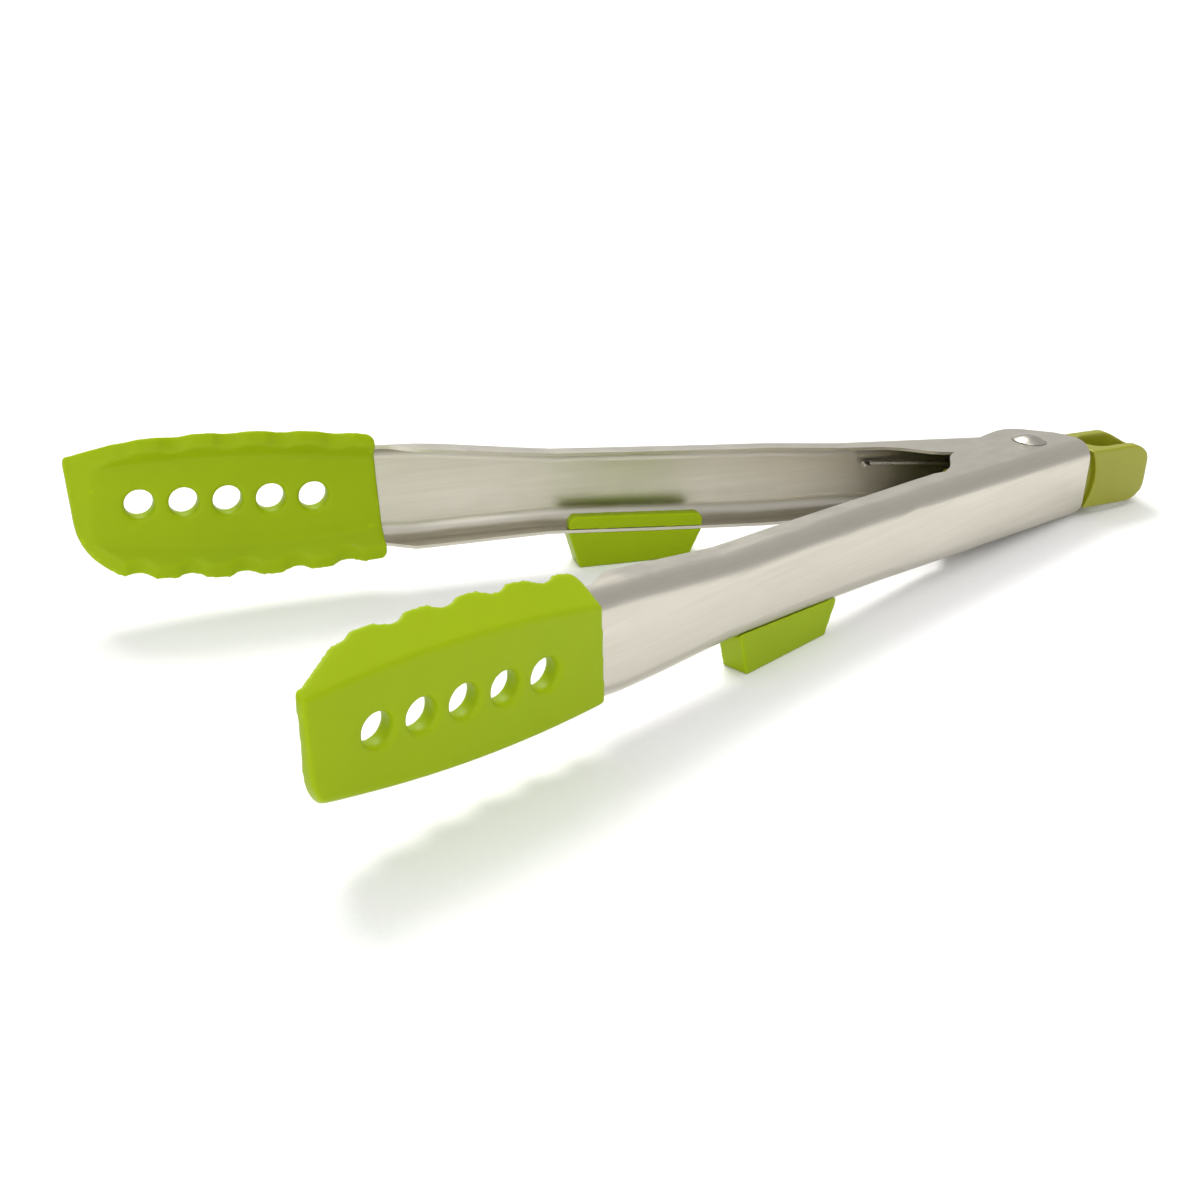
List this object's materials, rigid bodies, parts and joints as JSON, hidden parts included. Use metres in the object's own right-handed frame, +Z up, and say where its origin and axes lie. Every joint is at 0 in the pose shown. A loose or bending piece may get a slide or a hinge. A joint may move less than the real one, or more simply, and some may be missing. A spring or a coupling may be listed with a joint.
{
  "type": "kitchen tongs",
  "caption": "Spring-loaded kitchen tongs: sprung stainless channel arms, soft perforated tray tips, stand-off feet under the arms and a sliding pull tab with a hanging loop.",
  "frame": {"origin": "on the surface it rests on, under the middle of its length, on the middle plane", "axes": "+X from the tips to the hanging loop, +Z up with the tongs lying on their side, +Y to the far arm"},
  "size_m": [0.2828, 0.139, 0.0456],
  "materials": {
    "steel": "fine lengthwise brushed stainless",
    "silicone": "smooth satin lime silicone",
    "rivet_steel": "polished stainless",
    "spring_steel": "drawn spring wire",
    "tab_plastic": "fine satin olive plastic"
  },
  "bodies": {
    "core": {"pivot_rivet": "rivet_steel", "torsion_spring": "spring_steel"},
    "arm_right": {"arm_right": "steel", "tip_right": "silicone", "foot_right": "silicone"},
    "arm_left": {"arm_left": "steel", "tip_left": "silicone", "foot_left": "silicone"},
    "pull_tab": {"pull_tab": "tab_plastic"}
  },
  "joints": [
    {"name": "right_close", "type": "hinge", "parent": "core", "child": "arm_right", "pos_m": [0.10001, 0, 0.01208], "axis": [-0.0689, 0, -0.9976], "range_deg": [0, 14.2], "stiffness_Nm_per_rad": 0.3, "springref_deg": -17.19, "deforming": ["torsion_spring"]},
    {"name": "left_close", "type": "hinge", "parent": "core", "child": "arm_left", "pos_m": [0.10001, 0, 0.01208], "axis": [0.0689, 0, 0.9976], "range_deg": [0, 14.2], "stiffness_Nm_per_rad": 0.3, "springref_deg": -17.19, "deforming": ["torsion_spring"]},
    {"name": "tab_slide", "type": "slide", "parent": "core", "child": "pull_tab", "axis": [0.9976, 0, -0.0689], "range_m": [0, 0.01]}
  ],
  "couplings": [
    {"joint": "left_close", "follows": "right_close", "ratio": 1}
  ]
}
